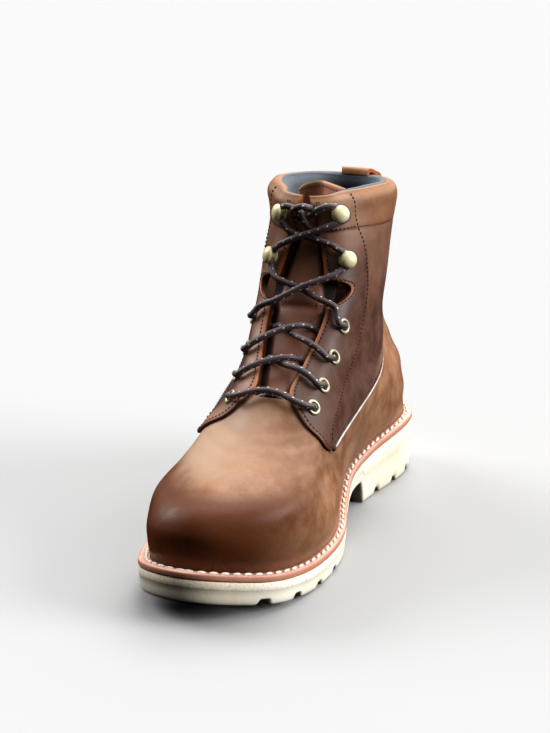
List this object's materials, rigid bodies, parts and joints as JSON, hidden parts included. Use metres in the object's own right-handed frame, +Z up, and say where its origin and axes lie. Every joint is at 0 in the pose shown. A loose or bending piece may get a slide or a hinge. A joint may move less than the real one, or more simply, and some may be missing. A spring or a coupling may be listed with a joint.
{
  "type": "hunting boot",
  "caption": "Right ankle-high lace-up hunting boot of oiled leather with a padded collar, stitched welt and a cream lugged rubber sole, standing empty on its sole.",
  "frame": {"origin": "middle of the boot's box on the floor plane that heel and forefoot stand on", "axes": "+Z up, toe towards -Y and heel towards +Y, inner (medial) side of the foot towards +X"},
  "size_m": [0.1034, 0.305, 0.1977],
  "materials": {
    "crepe_rubber": "matte cream moulded rubber",
    "welt_leather": "smooth edge-stained leather",
    "insole_board": "plain matte footbed",
    "oiled_leather": "oiled full-grain, soft sheen",
    "quarter_leather": "oiled full-grain, darker reddish brown",
    "collar_leather": "soft padded leather",
    "loop_leather": "folded strap, soft sheen",
    "lining_cloth": "padded slate-blue cloth",
    "piping_cord": "pale cord",
    "lace_cord": "round braided cord with pale flecks",
    "brass": "pale brass, satin"
  },
  "bodies": {
    "root": {"outsole": "crepe_rubber", "welt": "welt_leather", "insole": "insole_board", "upper": "oiled_leather", "quarter_medial": "quarter_leather", "quarter_lateral": "quarter_leather", "piping_medial": "piping_cord", "piping_lateral": "piping_cord", "collar": "collar_leather", "collar_lining": "lining_cloth", "tongue": "quarter_leather", "pull_loop": "loop_leather", "eyelet_medial_1": "brass", "eyelet_medial_2": "brass", "eyelet_medial_3": "brass", "eyelet_medial_4": "brass", "eyelet_lateral_1": "brass", "eyelet_lateral_2": "brass", "eyelet_lateral_3": "brass", "eyelet_lateral_4": "brass", "hook_medial_1": "brass", "hook_medial_2": "brass", "hook_lateral_1": "brass", "hook_lateral_2": "brass", "lace_bar": "lace_cord", "lace_cross_1": "lace_cord", "lace_cross_2": "lace_cord", "lace_cross_hooks": "lace_cord", "lace_cross_top": "lace_cord", "lace_knot": "lace_cord"}
  },
  "joints": []
}
